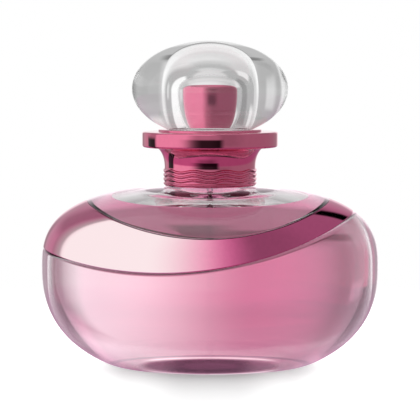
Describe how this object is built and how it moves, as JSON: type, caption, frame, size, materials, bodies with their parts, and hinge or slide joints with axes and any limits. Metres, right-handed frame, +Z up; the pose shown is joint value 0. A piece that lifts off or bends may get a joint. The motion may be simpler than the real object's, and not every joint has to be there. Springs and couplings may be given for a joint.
{
  "type": "perfume bottle",
  "caption": "Oval glass perfume bottle with a saddle-shaped metal shoulder band, a crimped fine-mist pump, a flanged metal collar and a domed clear cap.",
  "frame": {"origin": "centre of the bottle's base, on the plane it stands on", "axes": "+Z up along the neck and pump, +X along the wide side of the oval body, -Y towards the front; the spray nozzle is turned to the back, +Y"},
  "size_m": [0.09, 0.06, 0.0874],
  "materials": {
    "clear_glass": "polished, thick and colourless",
    "fragrance": "clear pink liquid",
    "pink_metal": "mirror polished under a transparent raspberry lacquer",
    "bare_aluminium": "drawn, satin",
    "spring_steel": "drawn wire, bright",
    "white_plastic": "moulded, lightly glossy",
    "clear_plastic": "moulded, nearly invisible in the liquid",
    "clear_cap": "polished thick clear acrylic",
    "soft_seal": "soft polyethylene",
    "dark_rubber": "nitrile rubber"
  },
  "bodies": {
    "bottle": {"glass_bottle": "clear_glass", "fragrance_fill": "fragrance", "shoulder_band": "pink_metal", "neck_gasket": "soft_seal", "crimp_ferrule": "bare_aluminium", "pump_housing": "clear_plastic", "pump_turret": "white_plastic", "stem_gasket": "dark_rubber", "return_spring": "spring_steel", "dip_tube": "clear_plastic", "collar_shell": "pink_metal", "collar_sleeve": "white_plastic"},
    "stem": {"pump_stem": "white_plastic", "preload_spring": "spring_steel"},
    "piston": {"pump_piston": "soft_seal"},
    "ball": {"check_ball": "spring_steel"},
    "actuator": {"actuator_shell": "pink_metal", "actuator_core": "white_plastic", "nozzle_insert": "white_plastic"},
    "cap": {"cap_body": "clear_cap", "cap_liner": "white_plastic"}
  },
  "joints": [
    {"name": "stem_press", "type": "slide", "parent": "bottle", "child": "stem", "axis": [0, 0, -1], "range_m": [0, 0.0041], "stiffness_N_per_m": 900, "springref_m": -0.004, "deforming": ["return_spring"]},
    {"name": "piston_shift", "type": "slide", "parent": "stem", "child": "piston", "axis": [0, 0, 1], "range_m": [0, 0.0005], "deforming": ["preload_spring"]},
    {"name": "ball_lift", "type": "slide", "parent": "bottle", "child": "ball", "axis": [0, 0, 1], "range_m": [0, 0.0008]},
    {"name": "actuator_turn", "type": "hinge", "parent": "stem", "child": "actuator", "pos_m": [0, 0, 0.0685], "axis": [0, 0, 1], "continuous": true},
    {"name": "cap_lift", "type": "slide", "parent": "bottle", "child": "cap", "axis": [0, 0, 1], "range_m": [0, 0.045]}
  ],
  "couplings": [
    {"joint": "piston_shift", "follows": "stem_press", "ratio": 0.1219}
  ]
}
